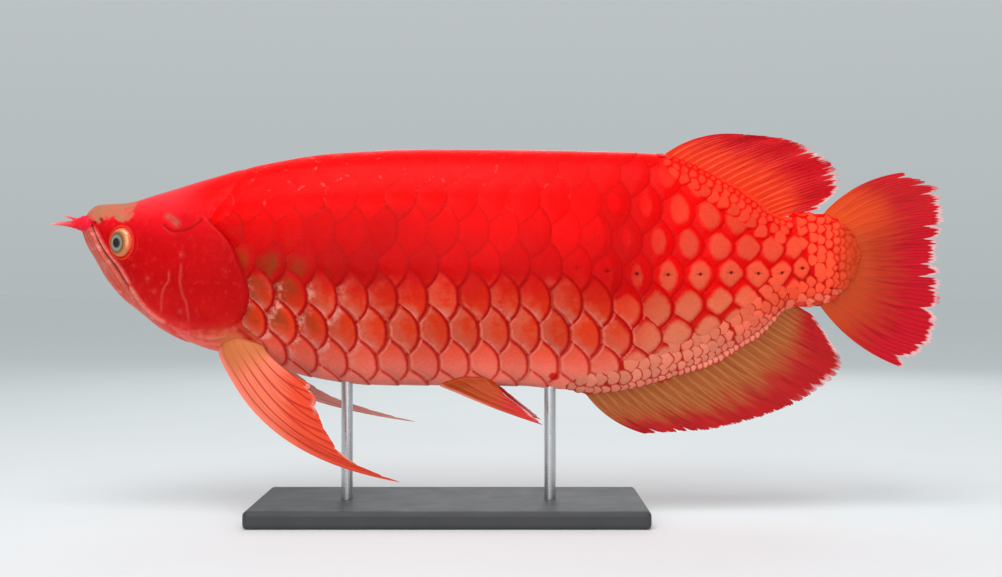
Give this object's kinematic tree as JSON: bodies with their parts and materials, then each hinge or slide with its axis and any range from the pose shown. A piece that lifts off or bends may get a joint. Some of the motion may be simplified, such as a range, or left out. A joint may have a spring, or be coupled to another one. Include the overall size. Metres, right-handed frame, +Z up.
{
  "type": "asian arowana",
  "caption": "Red Asian arowana swimming level, a life-size still model with large raised scales, rayed fins and chin barbels, held on a flat base by short rods.",
  "frame": {"origin": "middle of the stand base's underside, under the middle of the body", "axes": "+X from the head to the tail, +Z up, the fish's left side towards -Y"},
  "size_m": [0.6229, 0.1224, 0.2672],
  "materials": {
    "head_skin": "smooth wet skin",
    "jaw_skin": "smooth wet skin, paler than the head",
    "gill_cover": "smooth wet plate",
    "eye": "clear gloss over a silver and gold iris",
    "barbel": "soft skin",
    "scales": "glossy overlapping scales",
    "tail_scales": "glossy overlapping scales",
    "median_fin": "thin ribbed membrane",
    "paired_fin": "thin ribbed membrane",
    "stand_base": "plain matte charcoal",
    "stand_rod": "satin"
  },
  "bodies": {
    "root": {"head": "head_skin", "lower_jaw": "jaw_skin", "gill_cover_left": "gill_cover", "gill_cover_right": "gill_cover", "eye_left": "eye", "eye_right": "eye", "barbel_left": "barbel", "barbel_right": "barbel", "trunk": "scales", "tail_stalk": "tail_scales", "dorsal_fin": "median_fin", "anal_fin": "median_fin", "caudal_fin": "median_fin", "pectoral_fin_left": "paired_fin", "pectoral_fin_right": "paired_fin", "pelvic_fin_left": "paired_fin", "pelvic_fin_right": "paired_fin", "stand_base": "stand_base", "stand_rod_front": "stand_rod", "stand_rod_rear": "stand_rod"}
  },
  "joints": []
}
